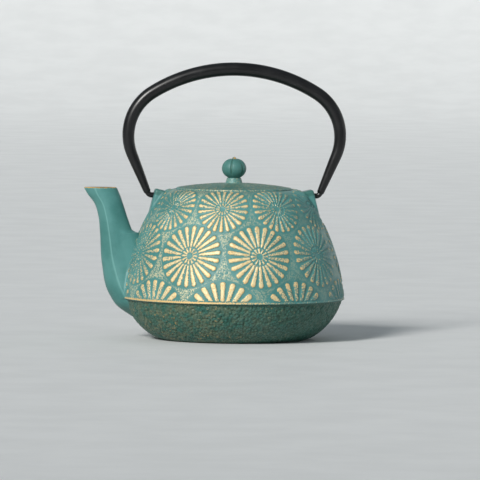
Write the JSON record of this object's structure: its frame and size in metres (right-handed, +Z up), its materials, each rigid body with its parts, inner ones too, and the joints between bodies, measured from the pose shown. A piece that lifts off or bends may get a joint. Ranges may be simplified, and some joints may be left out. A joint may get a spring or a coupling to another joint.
{
  "type": "cast iron teapot",
  "caption": "Round cast iron teapot with flower relief, overhanging ridge, curved spout, domed lid with lobed knob, swinging bail handle and a lift-out infuser basket.",
  "frame": {"origin": "middle of the flat base, on the pot's axis", "axes": "+Z up along the pot's axis; the spout points along -X; the bail stands in the XZ plane and swings about X"},
  "size_m": [0.197, 0.1678, 0.2073],
  "materials": {
    "cast_green": "satin green enamel paint, gold dry-brushed on the relief",
    "bail_black": "satin black powder coat",
    "stainless": "brushed",
    "woven_stainless": "woven fine wire"
  },
  "bodies": {
    "pot": {"pot_bowl": "cast_green", "pot_wall": "cast_green", "pot_shoulder": "cast_green", "spout": "cast_green", "front_lug": "cast_green", "rear_lug": "cast_green"},
    "handle": {"handle_tube": "bail_black", "front_hook": "bail_black", "rear_hook": "bail_black"},
    "infuser": {"infuser_rim": "stainless", "infuser_mesh_wall": "woven_stainless", "infuser_mesh_floor": "woven_stainless", "infuser_base_ring": "stainless"},
    "lid": {"lid": "cast_green", "lid_knob": "cast_green", "knob_screw": "stainless", "knob_washer": "stainless"}
  },
  "joints": [
    {"name": "handle_swing", "type": "hinge", "parent": "pot", "child": "handle", "pos_m": [0, 0, 0.1077], "axis": [1, 0, 0], "range_deg": [-115, 115]},
    {"name": "infuser_lift", "type": "slide", "parent": "pot", "child": "infuser", "axis": [0, 0, 1], "range_m": [0, 0.057]},
    {"name": "lid_lift", "type": "slide", "parent": "infuser", "child": "lid", "axis": [0, 0, 1], "range_m": [0, 0.05]}
  ]
}
